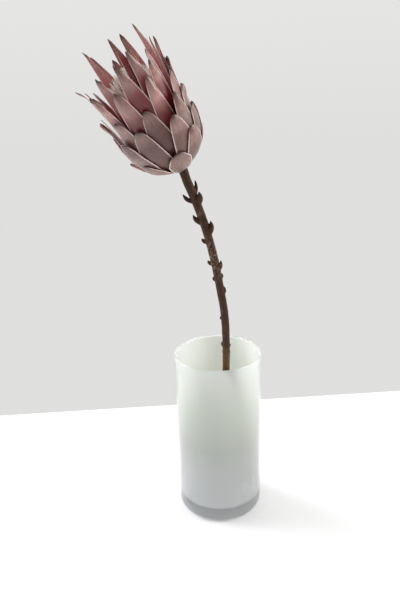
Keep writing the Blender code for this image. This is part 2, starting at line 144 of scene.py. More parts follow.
# By index: turn in degrees, tip height in mm, flare in mm, sideways sweep in degrees, width factor.
IRREGULAR_BRACTS = {
    0: (5, 2, 0, 0, 0.95),
    1: (-20, -4, 3, 0, 1.0),
    2: (-15, -6, 5, 0, 0.4),
    3: (-8, 0, 0, 0, 0.9),
    5: (-18, -20, 0, 0, 0.9),
    7: (12, 8, 1, 0, 1.0),
    8: (6, 4, 1, 0, 0.9),
    10: (10, -3, 2, 0, 1.1),
    11: (15, -9, 3, 0, 0.7),
    13: (-12, -5, 1, 0, 1.05),
    15: (8, 8, 1, 0, 1.0),
    16: (13, 0, 0, 0, 0.85),
    19: (-4, -7, 0, 0, 0.9),
    21: (-9, -10, 0, 0, 1.1),
    23: (0, -6, 0, 0, 1.0),
    26: (4, 8, 0, 0, 1.0),
    28: (-6, 3, 2, 0, 1.0),
    29: (-6, 0, 0, 0, 0.9),
    31: (3, 2, 0, 0, 1.0),
    32: (0, -8, 0, 0, 1.0),
    34: (5, 9, 0, 0, 1.1),
    35: (-4, 8, 0, 0, 0.75),
    36: (-15, 3, 6, 0, 0.8),
    37: (-7, -5, 0, 0, 1.05),
    39: (7, 2, 0, 0, 1.0),
    40: (-10, -2, 0, 0, 0.8),
    41: (4, -20, 0, 0, 0.9),
    42: (8, 3, 0, 0, 1.0),
    43: (4, 8, 0, 0, 1.0),
    44: (2, -24, 0, 0, 0.9),
    45: (-18, -10, 0, 0, 1.0),
    47: (14, -9, 0, 0, 0.8),
    48: (4, 2, 0, 4, 0.9),
    49: (0, -25, 0, 0, 0.9),
    50: (-12, -8, 0, 0, 0.9),
    51: (0, -3, 0, 0, 1.0),
    52: (0, -30, 0, 0, 0.9),
    53: (0, -22, 0, 0, 0.8),
    54: (-12, -6, 4, -3, 0.9),
    55: (13, -8, 0, 0, 1.15),
}

# Bracts turned a little from where they are stacked, in degrees, and those that spread wider.
TURNED_BRACTS = {53: 24, 40: 22, 32: 18, 36: 24, 49: 14, 11: -18, 19: -16, 16: -8}
WIDER_BRACTS = {36: 1.9, 53: 1.2, 40: 1.2, 32: 1.3, 11: 1.4, 19: 1.3}

# Height, bearing in degrees, length, thickness and lean in degrees of each leaf stub.
LEAF_STUBS = (
    (0.476, 25, 0.0130, 0.0022, 22),
    (0.470, 185, 0.0120, 0.0030, 38),
    (0.466, -25, 0.0125, 0.0038, 20),
    (0.457, 95, 0.0090, 0.0030, 30),
    (0.444, 190, 0.0120, 0.0034, 26),
    (0.443, -50, 0.0080, 0.0022, 26),
    (0.430, -5, 0.0130, 0.0040, 18),
    (0.421, 178, 0.0070, 0.0028, 48),
    (0.414, 80, 0.0090, 0.0030, 28),
    (0.404, -70, 0.0110, 0.0038, 14),
    (0.393, 182, 0.0070, 0.0028, 46),
    (0.384, -5, 0.0110, 0.0028, 20),
    (0.372, 175, 0.0050, 0.0028, 40),
    (0.372, 35, 0.0060, 0.0026, 36),
    (0.351, 2, 0.0090, 0.0022, 14),
    (0.340, 110, 0.0060, 0.0024, 30),
    (0.318, 184, 0.0040, 0.0024, 44),
    (0.275, 165, 0.0060, 0.0028, 24),
)

# Height and swelling, as a share of the stem's radius, of each ring where leaves once stood.
LEAF_SCARS = ((0.267, 0.20), (0.278, 0.30), (0.318, 0.05), (0.346, 0.06), (0.398, 0.12), (0.409, 0.10))


# ---- node helpers -------------------------------------------------------------------------------
def feed(tree, socket, value):
    """Link a socket to another one, or set its own value."""
    if isinstance(value, bpy.types.NodeSocket):
        tree.links.new(value, socket)
    else:
        socket.default_value = value


def tree_node(tree, kind, settings=None, **inputs):
    """Add a node; each input is named, with spaces as underscores."""
    made = tree.nodes.new(kind)
    for label, value in (settings or {}).items():
        setattr(made, label, value)
    for label, value in inputs.items():
        feed(tree, made.inputs[label.replace("_", " ")], value)
    return made


def tree_maths(tree, operation, first, second=0.0):
    made = tree_node(tree, "ShaderNodeMath", {"operation": operation})
    feed(tree, made.inputs[0], first)
    feed(tree, made.inputs[1], second)
    return made.outputs[0]


def vector_maths(tree, operation, first, second):
    """Work on two vectors, or on a vector and the number that scales it."""
    made = tree_node(tree, "ShaderNodeVectorMath", {"operation": operation})
    feed(tree, made.inputs[0], first)
    feed(tree, made.inputs["Scale" if operation == "SCALE" else 1], second)
    return made.outputs[0]


# ---- material helpers ---------------------------------------------------------------------------
class Finish:
    """A material under construction: makes nodes and links them by short calls."""

    def __init__(self, name, **uniform):
        self.material = bpy.data.materials.new(name)
        self.material.use_nodes = True
        self.tree = self.material.node_tree
        self.shader = self.tree.nodes["Principled BSDF"]
        for label, value in uniform.items():
            self.shader.inputs[label.replace("_", " ")].default_value = value

    def node(self, kind, settings=None, **inputs):
        return tree_node(self.tree, kind, settings, **inputs)

    def maths(self, operation, first, second=0.0):
        return tree_maths(self.tree, operation, first, second)

    def times(self, first, *others):
        for other in others:
            first = self.maths("MULTIPLY", first, other)
        return first

    def blend(self, share, first, second, mode="MIX"):
        """Mix two colours, each a socket or a plain colour."""
        made = self.node("ShaderNodeMix", {"data_type": "RGBA", "blend_type": mode})
        feed(self.tree, made.inputs[0], share)
        for place, colour in ((6, first), (7, second)):
            if isinstance(colour, tuple):
                colour = (*colour, 1.0)
            feed(self.tree, made.inputs[place], colour)
        return made.outputs[2]

    def steps(self, value, *stops):
        """Colour ramp: stops are (place, colour)."""
        made = self.node("ShaderNodeValToRGB", Fac=value)
        ramp = made.color_ramp
        while len(ramp.elements) < len(stops):
            ramp.elements.new(1.0)
        for element, (place, colour) in zip(ramp.elements, stops):
            element.position = place
            element.color = (*colour, 1.0)
        return made.outputs[0]

    def range(self, value, low, high, to_low=0.0, to_high=1.0):
        """Ease from to_low to to_high while the value goes from low to high."""
        made = self.node("ShaderNodeMapRange", {"interpolation_type": "SMOOTHSTEP"})
        for place, part in enumerate((value, low, high, to_low, to_high)):
            feed(self.tree, made.inputs[place], part)
        return made.outputs[0]

    def noise(self, place, scale, detail=3.0, roughness=0.55):
        made = self.node(
            "ShaderNodeTexNoise", Vector=place, Scale=scale, Detail=detail, Roughness=roughness
        )
        return made.outputs[0]

    def stretched(self, place, x, y, z):
        return self.node("ShaderNodeMapping", Vector=place, Scale=(x, y, z)).outputs[0]

    def bump(self, height, strength, distance, after=None):
        made = self.node("ShaderNodeBump", Height=height, Strength=strength, Distance=distance)
        if after is not None:
            feed(self.tree, made.inputs["Normal"], after)
        return made.outputs[0]

    def object_place(self):
        return self.node("ShaderNodeTexCoord").outputs["Object"]

    def level(self, place):
        """Height above the table."""
        return self.node("ShaderNodeSeparateXYZ", Vector=place).outputs["Z"]

    def attribute(self, name):
        return self.node("ShaderNodeAttribute", {"attribute_name": name}).outputs["Fac"]

    def finish(self, colour, roughness, normal):
        for label, value in (("Base Color", colour), ("Roughness", roughness), ("Normal", normal)):
            feed(self.tree, self.shader.inputs[label], value)
        return self.material


def rgb(red, green, blue):
    """Linear colour from everyday 0-255 values."""
    values = []
    for value in (red, green, blue):
        share = value / 255
        values.append(share / 12.92 if share <= 0.04045 else ((share + 0.055) / 1.055) ** 2.4)
    return tuple(values)


# ---- materials ----------------------------------------------------------------------------------
def clear_glass():
    """Pale green-grey clear glass with a faint ripple, thin to the light in its foot and wall."""
    coat = Finish("clear drawn glass", IOR=1.5, Transmission_Weight=1.0)
    place = coat.object_place()
    ripple = coat.noise(coat.stretched(place, 18, 18, 5), 1.0, 2.0)
    tint = coat.steps(coat.noise(place, 9.0), (0.3, rgb(243, 248, 245)), (0.7, rgb(247, 251, 249)))
    smudge = coat.range(coat.noise(place, 35.0, 4.0), 0.45, 0.8, 0.0, 0.02)
    height = coat.level(place)
    body = coat.range(height, 0.010, 0.026, GLASS_BODY["foot"], GLASS_BODY["wall"])
    body = coat.maths("MAXIMUM", body, coat.range(height, 0.222, 0.234, 0.0, GLASS_BODY["rim"]))
    feed(coat.tree, coat.shader.inputs["Alpha"], body)
    return coat.finish(tint, smudge, coat.bump(ripple, 0.25, 0.0006))


def white_glass():
    """Opal white glass lining, faintly green, with painted shade and tint by height: grey round the
    middle of the wall, greenish above it, white at the foot and the rim.
    """
    coat = Finish(
        "opal white glass",
        IOR=1.5,
        Subsurface_Weight=0.75,
        Subsurface_Radius=(1.0, 1.0, 0.9),
        Subsurface_Scale=0.006,
        Coat_Weight=0.6,
        Coat_Roughness=0.04,
    )
    place = coat.object_place()
    height = coat.level(place)
    cloudy = coat.noise(coat.stretched(place, 14, 14, 6), 1.0, 3.0)
    # Painted shade: the colour by height is grey round the middle of the wall, greenish above it and
    # white at the foot and the rim.
    base = coat.steps(
        coat.times(height, 4.0),
        (0.10, rgb(250, 250, 251)),
        (0.24, rgb(240, 240, 239)),
        (0.46, rgb(222, 225, 215)),
        (0.68, rgb(236, 242, 226)),
        (0.96, rgb(249, 252, 245)),
    )
    cloud = coat.range(cloudy, 0.3, 0.7, 0.0, 0.22)
    colour = coat.blend(cloud, base, rgb(240, 243, 240))
    fine = coat.noise(place, 900.0, 2.0)
    rough = coat.range(cloudy, 0.2, 0.8, 0.16, 0.30)
    return coat.finish(colour, rough, coat.bump(fine, 0.04, 0.0002))


def bark():
    """Brown twig bark: streaks along the stem, pale scars, golden brown in and near the vase."""
    coat = Finish("protea bark", Specular_IOR_Level=0.35)
    place = coat.object_place()
    height = coat.level(place)
    streak = coat.noise(coat.stretched(place, 900, 900, 70), 1.0, 5.0, 0.65)
    patch = coat.noise(coat.stretched(place, 120, 120, 45), 1.0, 4.0)
    dark = coat.steps(streak, (0.30, rgb(28, 13, 7)), (0.52, rgb(62, 35, 21)), (0.74, rgb(102, 68, 44)))
    gold = coat.steps(
        streak, (0.30, rgb(62, 40, 16)), (0.52, rgb(92, 64, 30)), (0.74, rgb(124, 92, 50))
    )
    lower = coat.range(height, 0.262, 0.285, 1.0, 0.0)
    colour = coat.blend(lower, dark, gold)
    colour = coat.blend(coat.range(patch, 0.62, 0.74, 0.0, 0.30), colour, rgb(150, 128, 104))
    from_scars = coat.maths("ABSOLUTE", coat.maths("SUBTRACT", height, 0.405))
    spots = coat.range(coat.noise(place, 380.0), 0.50, 0.60)
    knobs = coat.times(coat.range(from_scars, 0.010, 0.030, 1.0, 0.0), spots, 0.6)
    colour = coat.blend(knobs, colour, rgb(146, 124, 100))
    top = coat.range(height, 0.470, 0.520, 0.0, 0.35)
    colour = coat.blend(top, colour, rgb(44, 26, 17))
    rough = coat.range(streak, 0.3, 0.7, 0.62, 0.86)
    fibres = coat.bump(streak, 0.55, 0.0006)
    pores = coat.noise(place, 1400.0, 3.0)
    return coat.finish(colour, rough, coat.bump(pores, 0.35, 0.0003, fibres))


def floret_wool():
    """Cream white silky wool of the florets, with painted shade: browner down between them, towards each
    floret's foot.
    """
    coat = Finish("floret wool", Sheen_Weight=0.5, Sheen_Roughness=0.5)
    place = coat.object_place()
    tuft = coat.noise(place, 420.0, 4.0)
    depth = coat.attribute("tip_share")
    pale = coat.steps(tuft, (0.3, rgb(200, 186, 176)), (0.7, rgb(234, 226, 217)))
    # Painted shade: brown towards each floret's foot, down in the mass between them.
    colour = coat.blend(coat.range(depth, 0.05, 0.55, 0.75, 0.0), pale, rgb(120, 84, 74))
    rough = coat.range(tuft, 0.3, 0.7, 0.75, 0.95)
    return coat.finish(colour, rough, coat.bump(tuft, 0.4, 0.0004))


def bract_outside(coat, along, level):
    """Dull mauve on the outer bracts; on the inner ones crimson below, pink above. Towards the base both
    darken as painted shade of the crevices between the bracts, on the inner ones over their own crimson.
    """
    # Outer bracts: the dark reddish brown at the base is painted shade of the crevices between bracts.
    low_skin = coat.steps(
        along,
        (0.0, rgb(78, 36, 30)),
        (0.22, rgb(108, 76, 66)),
        (0.45, rgb(130, 99, 89)),
        (0.85, rgb(146, 115, 106)),
        (1.0, rgb(114, 87, 79)),
    )
    # Inner bracts: their own crimson below, darkened at the base as painted shade of the gaps.
    high_skin = coat.steps(
        along,
        (0.0, rgb(92, 6, 16)),
        (0.38, rgb(124, 26, 34)),
        (0.58, rgb(152, 88, 86)),
        (0.80, rgb(184, 136, 130)),
        (1.0, rgb(136, 104, 96)),
    )
    return coat.blend(coat.range(level, 0.05, 0.75), low_skin, high_skin)


def bract_inside(coat, along):
    return coat.steps(
        along,
        (0.0, rgb(92, 2, 14)),
        (0.50, rgb(146, 10, 30)),
        (0.62, rgb(166, 52, 62)),
        (0.76, rgb(182, 108, 106)),
        (0.92, rgb(172, 126, 120)),
        (1.0, rgb(124, 92, 84)),
    )


def bract_shades(coat, colour, place, vein, blotch):
    """Lighter and darker by the veins, the blotches, small specks and each bract's own tone."""
    veins = coat.range(vein, 0.30, 0.75, 0.80, 1.16)
    patches = coat.range(blotch, 0.30, 0.72, 0.84, 1.14)
    specks = coat.range(coat.noise(place, 650.0, 2.0), 0.60, 0.70, 1.0, 0.80)
    tone = coat.range(coat.attribute("tone"), 0.0, 1.0, 0.84, 1.20)
    shades = coat.times(veins, patches, specks, tone)
    grey = coat.node("ShaderNodeCombineColor", Red=shades, Green=shades, Blue=shades).outputs[0]
    return coat.blend(1.0, colour, grey, "MULTIPLY")


def bract_edges(coat, colour, across, along, level):
    """Crimson flush beside the margins and the pale margins themselves."""
    edge = coat.times(coat.maths("ABSOLUTE", coat.maths("SUBTRACT", across, 0.5)), 2.0)
    beside = coat.range(edge, 0.35, 0.95)
    flush = coat.times(beside, coat.range(along, 0.45, 0.78, 0.75, 0.0), coat.range(level, 0.25, 0.70))
    colour = coat.blend(flush, colour, rgb(132, 16, 30))
    rim = coat.range(edge, 0.85, 0.97, 0.0, 0.90)
    margin = coat.times(rim, coat.range(along, 0.10, 0.45), coat.range(along, 0.90, 0.97, 1.0, 0.0))
    return coat.blend(margin, colour, rgb(230, 202, 196))


def bract_skin():
    """Velvety mauve bract skin: pale margins, dried brown tip, pink to crimson inner face."""
    coat = Finish(
        "velvety bract skin",
        Sheen_Weight=0.48,
        Sheen_Roughness=0.30,
        Sheen_Tint=(*rgb(250, 226, 224), 1.0),
        Subsurface_Weight=0.08,
        Subsurface_Radius=(1.0, 0.35, 0.3),
        Subsurface_Scale=0.002,
        Specular_IOR_Level=0.60,
    )
    place = coat.object_place()
    sheet = coat.node("ShaderNodeUVMap", {"uv_map": "UVMap"}).outputs["UV"]
    split = coat.node("ShaderNodeSeparateXYZ", Vector=sheet)
    across, along = split.outputs["X"], split.outputs["Y"]
    inner, level = coat.attribute("inner_face"), coat.attribute("level")
    width_run, length_run = coat.attribute("width_run"), coat.attribute("length_run")
    measured = coat.node("ShaderNodeCombineXYZ", X=width_run, Y=length_run).outputs[0]
    vein = coat.noise(coat.stretched(measured, 1500, 60, 1), 1.0, 4.0, 0.6)
    blotch = coat.noise(place, 160.0, 4.0, 0.6)
    grain = coat.noise(place, 1500.0, 3.0)

    colour = coat.blend(inner, bract_outside(coat, along, level), bract_inside(coat, along))
    colour = bract_shades(coat, colour, place, vein, blotch)
    tip = coat.range(coat.maths("ADD", along, coat.times(blotch, 0.05)), 0.972, 1.02)
    dried = coat.times(tip, coat.attribute("dryness"))
    colour = coat.blend(dried, colour, rgb(72, 60, 55))

    # Painted shade and tint where outer bracts cover this one: dull brown on the low bracts is painted
    # shade, and crimson on the high ones is painted shade over their own crimson.
    outer_face = coat.range(inner, 0.4, 0.6, 0.9, 0.0)
    strength = coat.range(level, 0.25, 0.60, 0.62, 1.0)
    shade_and_tint_share = coat.times(coat.attribute("covered_shade_and_tint"), outer_face, strength)
    shade_and_crimson = coat.blend(coat.range(level, 0.32, 0.58), rgb(74, 40, 32), rgb(114, 5, 18))
    colour = bract_edges(coat, coat.blend(shade_and_tint_share, colour, shade_and_crimson), across, along, level)
    rough = coat.range(blotch, 0.3, 0.7, 0.30, 0.44)
    ribs = coat.bump(vein, 0.30, 0.0005)
    return coat.finish(colour, rough, coat.bump(grain, 0.22, 0.00015, ribs))


# ---- mesh helpers -------------------------------------------------------------------------------
def new_object(name, data):
    made = bpy.data.objects.new(name, data)
    bpy.context.scene.collection.objects.link(made)
    return made


def plain_mesh(name, build_mesh):
    """Keep the mesh under construction under its name."""
    mesh = bpy.data.meshes.new(name)
    build_mesh.to_mesh(mesh)
    build_mesh.free()
    return mesh


def settled_mesh(name, host):
    """Keep what the host's modifiers make of it as a plain mesh, and remove the host."""
    shown = host.evaluated_get(bpy.context.evaluated_depsgraph_get())
    mesh = bpy.data.meshes.new_from_object(shown)
    mesh.name = name
    bpy.data.objects.remove(host, do_unlink=True)
    return mesh


def join_rings(build_mesh, rings):
    """Faces between neighbouring closed rings of vertices."""
    count = len(rings[0])
    for lower, upper in zip(rings, rings[1:]):
        for i in range(count):
            j = (i + 1) % count
            build_mesh.faces.new((lower[i], lower[j], upper[j], upper[i]))


def add_piece(name, mesh, surface, node_names):
    """A finished piece at the origin that stands for CAD nodes."""
    piece = new_object(name, mesh)
    if not mesh.materials:
        mesh.materials.append(surface)
    mesh.shade_smooth()
    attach(piece, "root")
    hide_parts(*node_names)
    return piece


def turned_mesh(name, profile, sides):
    """Turn a profile that begins and ends on the axis."""
    build_mesh = bmesh.new()
    rings = []
    for radius, height in profile[1:-1]:
        ring = []
        for i in range(sides):
            angle = 2 * math.pi * i / sides
            place = (radius * math.cos(angle), radius * math.sin(angle), height)
            ring.append(build_mesh.verts.new(place))
        rings.append(ring)
    join_rings(build_mesh, rings)
    for ring, end in ((rings[0], profile[0]), (rings[-1], profile[-1])):
        pole = build_mesh.verts.new((0.0, 0.0, end[1]))
        for i in range(sides):
            build_mesh.faces.new((ring[i], ring[(i + 1) % sides], pole))
    bmesh.ops.recalc_face_normals(build_mesh, faces=build_mesh.faces)
    return plain_mesh(name, build_mesh)


def arc_points(middle_radius, middle_height, size, first, last, steps=8):
    """Profile points round a corner, from the first angle to the last, in degrees."""
    points = []
    for i in range(steps + 1):
        angle = math.radians(first + (last - first) * i / steps)
        points.append((middle_radius + size * math.cos(angle), middle_height + size * math.sin(angle)))
    return points


def straight(start, end, steps):
    """Points between two profile points, without the ends."""
    return [
        (start[0] + (end[0] - start[0]) * i / steps, start[1] + (end[1] - start[1]) * i / steps)
        for i in range(1, steps)
    ]


# ---- geometry node helpers ----------------------------------------------------------------------
def grow_tree(name, sizes):
    """A node tree with a geometry input, named size inputs and a material input."""
    tree = bpy.data.node_groups.new(name, "GeometryNodeTree")
    tree.interface.new_socket("Geometry", in_out="INPUT", socket_type="NodeSocketGeometry")
    for label, (kind, value) in sizes.items():
        socket = tree.interface.new_socket(label, in_out="INPUT", socket_type=kind)
        socket.default_value = value
    tree.interface.new_socket("Finish", in_out="INPUT", socket_type="NodeSocketMaterial")
    tree.interface.new_socket("Geometry", in_out="OUTPUT", socket_type="NodeSocketGeometry")
    return tree, tree.nodes.new("NodeGroupInput"), tree.nodes.new("NodeGroupOutput")


def end_tree(tree, given, out, geometry):
    """Realize the instances, set the material and hand the geometry out."""
    real = tree_node(tree, "GeometryNodeRealizeInstances", Geometry=geometry)
    finished = tree_node(
        tree, "GeometryNodeSetMaterial", Geometry=real.outputs[0], Material=given.outputs["Finish"]
    )
    tree.links.new(finished.outputs[0], out.inputs["Geometry"])


def grown_mesh(name, host_mesh, tree, surface, **sizes):
    """Run a tree on a mesh and keep the result as a plain mesh."""
    host = new_object(name + "_host", host_mesh)
    modifier = host.modifiers.new("grow", "NODES")
    modifier.node_group = tree
    values = {label.replace("_", " "): value for label, value in sizes.items()}
    values["Finish"] = surface
    for item in tree.interface.items_tree:
        if item.in_out == "INPUT" and item.name in values:
            modifier[item.identifier] = values[item.name]
    return settled_mesh(name, host)


# ---- vase ---------------------------------------------------------------------------------------
def cup_profile(outer, inside, bottom, floor, rim):
    """Half outline of a cup: under the foot, up the outside, over the rim, down to the floor."""
    foot = arc_points(outer - FOOT_ROUNDING, bottom + FOOT_ROUNDING, FOOT_ROUNDING, -90, 0)
    corner = arc_points(inside - FOOT_ROUNDING, floor + FOOT_ROUNDING, FOOT_ROUNDING, 0, -90)
    up = straight(foot[-1], rim[0], WALL_STEPS)
    down = straight(rim[-1], corner[0], WALL_STEPS)
    under = [(0.0, bottom), (0.5 * outer, bottom)]
    return [*under, *foot, *up, *rim, *down, *corner, (0.5 * outer, floor), (0.0, floor)]


def build_vase_casing(surface):
    """Clear outer glass.  Its inner wall lies within the lining, as fused glass has no air gap."""
    inside = LINING_RADIUS - 0.5 * LINING_WALL
    floor = LINING_LOW.z + 0.5 * LINING_WALL
    rim_middle = VASE_HEIGHT - RIM_ROUNDING
    rim = arc_points(VASE_RADIUS - RIM_ROUNDING, rim_middle, RIM_ROUNDING, 0, 90, 5)
    rim += arc_points(inside + RIM_ROUNDING, rim_middle, RIM_ROUNDING, 90, 180, 5)
    profile = cup_profile(VASE_RADIUS, inside, 0.0, floor, rim)
    mesh = turned_mesh("vase_clear_casing", profile, VASE_SIDES)
    return add_piece("vase_clear_casing", mesh, surface, ["vase_casing"])


def build_vase_lining(surface):
    """White lining, a thin cup with a softly rounded lip."""
    inside = LINING_RADIUS - LINING_WALL
    floor = LINING_LOW.z + LINING_WALL
    lip = 0.5 * LINING_WALL
    rim = arc_points(LINING_RADIUS - lip, LINING_HIGH.z - lip, lip, 0, 180)
    profile = cup_profile(LINING_RADIUS, inside, LINING_LOW.z, floor, rim)
    mesh = turned_mesh("vase_white_lining", profile, VASE_SIDES)
    return add_piece("vase_white_lining", mesh, surface, ["vase_lining"])


# ---- stem ---------------------------------------------------------------------------------------
def head_matrix():
    """The head's own frame: X to its front, Y to its right, Z up its axis."""
    tilt = math.radians(HEAD_TILT)
    bearing = math.radians(HEAD_BEARING)
    up = Vector((math.sin(tilt) * math.cos(bearing), math.sin(tilt) * math.sin(bearing), math.cos(tilt)))
    right = Vector((0.0, 1.0, 0.0)).cross(up).normalized()
    front = right.cross(up)
    turn = Matrix((front, right, up)).transposed()
    return Matrix.Translation(HEAD_BASE) @ turn.to_4x4()


HEAD = head_matrix()


def smooth_route(points, steps):
    """Catmull-Rom curve through the points."""
    padded = [2 * points[0] - points[1], *points, 2 * points[-1] - points[-2]]
    places = []
    for i in range(1, len(padded) - 2):
        before, start, end, after = padded[i - 1 : i + 3]
        for step in range(steps):
            t = step / steps
            linear = 2 * start + (end - before) * t
            square = (2 * before - 5 * start + 4 * end - after) * t**2
            cube = (3 * start - before - 3 * end + after) * t**3
            places.append(0.5 * (linear + square + cube))
    places.append(points[-1].copy())
    return places


def receptacle_radius(height):
    return RECEPTACLE_FOOT_RADIUS + RECEPTACLE_SPREAD * height


def stem_line_mesh():
    """The stem's middle line as edges, each point with its radius as a share of the stem's."""
    stations = [(place, 1.0) for place in smooth_route(STEM_ROUTE, STEM_STEPS)]
    steps = 8
    for i in range(steps + 1):
        height = RECEPTACLE_HEIGHT * i / steps
        stations.append((HEAD @ Vector((0, 0, height)), receptacle_radius(height) / STEM_RADIUS))
    crown = HEAD @ Vector((0, 0, RECEPTACLE_HEIGHT + RECEPTACLE_CROWN))
    stations.append((crown, 2.4))
    mesh = bpy.data.meshes.new("stem_line")
    edges = [(i, i + 1) for i in range(len(stations) - 1)]
    mesh.from_pydata([place for place, _ in stations], edges, [])
    fullness = mesh.attributes.new("fullness", "FLOAT", "POINT")
    fullness.data.foreach_set("value", [share for _, share in stations])
    return mesh


def stem_tree():
    """Sweep a round section along the line, as wide as each point's own radius."""
    sizes = {"Radius": ("NodeSocketFloat", STEM_RADIUS), "Sides": ("NodeSocketInt", STEM_SIDES)}
    tree, given, out = grow_tree("stem sweep", sizes)
    line = tree_node(tree, "GeometryNodeMeshToCurve", Mesh=given.outputs["Geometry"])
    fullness = tree_node(tree, "GeometryNodeInputNamedAttribute", {"data_type": "FLOAT"}, Name="fullness")
    ring = tree_node(
        tree,
        "GeometryNodeCurvePrimitiveCircle",
        Resolution=given.outputs["Sides"],
        Radius=given.outputs["Radius"],
    )
    swept = tree_node(
        tree,
        "GeometryNodeCurveToMesh",
        Curve=line.outputs[0],
        Profile_Curve=ring.outputs[0],
        Scale=fullness.outputs[0],
        Fill_Caps=True,
    )
    end_tree(tree, given, out, swept.outputs[0])
    return tree


def raised_noise(tree, stretch, detail, height):
    """Noise that rises and falls by half the height, stretched along the stem."""
    place = tree_node(tree, "GeometryNodeInputPosition").outputs[0]
    drawn = vector_maths(tree, "MULTIPLY", place, stretch)
    pattern = tree_node(tree, "ShaderNodeTexNoise", Vector=drawn, Scale=1.0, Detail=detail)
    centred = tree_maths(tree, "SUBTRACT", pattern.outputs[0], 0.5)
    return tree_maths(tree, "MULTIPLY", centred, height)


def bark_tree():
    """Raise lengthwise ridges and knuckles on the bark."""
    sizes = {
        "Ridge Height": ("NodeSocketFloat", 0.00035),
        "Knuckle Height": ("NodeSocketFloat", 0.0007),
    }
    tree, given, out = grow_tree("bark relief", sizes)
    ridges = raised_noise(tree, (520, 520, 55), 3.0, given.outputs["Ridge Height"])
    knuckles = raised_noise(tree, (90, 90, 75), 2.0, given.outputs["Knuckle Height"])
    facing = tree_node(tree, "GeometryNodeInputNormal").outputs[0]
    push = vector_maths(tree, "SCALE", facing, tree_maths(tree, "ADD", ridges, knuckles))
    moved = tree_node(tree, "GeometryNodeSetPosition", Geometry=given.outputs["Geometry"], Offset=push)
    end_tree(tree, given, out, moved.outputs[0])
    return tree


def route_at_height(route, height):
    for start, end in zip(route, route[1:]):
        if start.z <= height <= end.z:
            share = (height - start.z) / (end.z - start.z)
            return start.lerp(end, share), (end - start).normalized()
    raise ValueError("height off the stem")


def tube(build_mesh, stations, sides=12):
    """A closed round solid through (middle, side vector, other vector) stations."""
    loops = []
    for middle, side, other in stations:
        loop = []
        for i in range(sides):
            angle = 2 * math.pi * i / sides
            loop.append(build_mesh.verts.new(middle + math.cos(angle) * side + math.sin(angle) * other))
        loops.append(loop)
    join_rings(build_mesh, loops)
    build_mesh.faces.new(loops[0])
    build_mesh.faces.new(loops[-1])


def add_leaf_stub(build_mesh, route, height, bearing, length, thickness, lean):
    """A withered bud: it leaves the stem sideways, turns up along it and ends in a pinched point."""
    place, along = route_at_height(route, height)
    bearing, lean = math.radians(bearing), math.radians(lean)
    out = Vector((math.cos(bearing), math.sin(bearing), 0.0))
    out = (out - along * out.dot(along)).normalized()
    across = along.cross(out)
    middle = place + out * STEM_RADIUS * 0.5
    steps = 12
    stations = []
    for i in range(steps + 1):
        share = i / steps
        angle = (lean + math.radians(12)) * (1 - share) + lean * 0.05
        heading = (along * math.cos(angle) + out * math.sin(angle)).normalized()
        fullness = 0.80 + 0.70 * math.sin(math.pi * share**1.1) ** 1.4 - 0.62 * share**4
        half = 0.62 * thickness * fullness
        stations.append((middle.copy(), heading.cross(across) * half * 0.85, across * half))
        middle += heading * length * 1.40 / steps
    tube(build_mesh, stations)


def add_leaf_scar(build_mesh, route, height, swell):
    """A low ring where leaves once stood."""
    place, along = route_at_height(route, height)
    side = along.orthogonal().normalized()
    other = along.cross(side)
    stations = []
    outline = ((-0.0016, 0.90), (-0.0007, 1.0 + 0.5 * swell), (0.0, 1.0 + swell), (0.0008, 0.92))
    for lift, share in outline:
        radius = STEM_RADIUS * share
        stations.append((place + along * lift, side * radius, other * radius))
    tube(build_mesh, stations, 20)


def stem_parts_mesh(surface):
    """The swept stem with its stubs and scars standing in it, not yet joined."""
    sizes = {"Radius": STEM_RADIUS, "Sides": STEM_SIDES}
    swept = grown_mesh("stem_swept", stem_line_mesh(), stem_tree(), surface, **sizes)
    build_mesh = bmesh.new()
    build_mesh.from_mesh(swept)
    route = smooth_route(STEM_ROUTE, STEM_STEPS)
    for stub in LEAF_STUBS:
        add_leaf_stub(build_mesh, route, *stub)
    for scar in LEAF_SCARS:
        add_leaf_scar(build_mesh, route, *scar)
    bmesh.ops.recalc_face_normals(build_mesh, faces=build_mesh.faces)
    return plain_mesh("stem_joined", build_mesh)


def fused_mesh(name, mesh, grain):
    """One skin over everything in the mesh, then slightly relaxed."""
    host = new_object(name + "_host", mesh)
    fuse = host.modifiers.new("fuse", "REMESH")
    fuse.mode = "VOXEL"
    fuse.voxel_size = grain
    relax = host.modifiers.new("relax", "SMOOTH")
    relax.factor = 0.5
    relax.iterations = 1
    return settled_mesh(name, host)


def build_stem(surface):
    """Sweep, leaf stubs and scars fused into one skin, then given its bark relief."""
    fused = fused_mesh("stem_fused", stem_parts_mesh(surface), STEM_GRAIN)
    mesh = grown_mesh("protea_stem", fused, bark_tree(), surface)
    return add_piece("protea_stem", mesh, surface, ["stem"])


# ---- florets ------------------------------------------------------------------------------------
def dome_radius(height):
    """Radius of the floret mass: it swells from the receptacle, stands straight and domes over."""
    shoulder = FLORETS_TOP - FLORETS_DOME_HEIGHT
    if height > shoulder:
        share = min(1.0, (height - shoulder) / FLORETS_DOME_HEIGHT)
        return FLORETS_RADIUS * math.sqrt(max(0.0, 1 - share**2))
    swell = math.sin(0.5 * math.pi * min(1.0, (height - FLORETS_BOTTOM) / FLORETS_FULL_HEIGHT))
    return FLORETS_BOTTOM_RADIUS + (FLORETS_RADIUS - FLORETS_BOTTOM_RADIUS) * swell


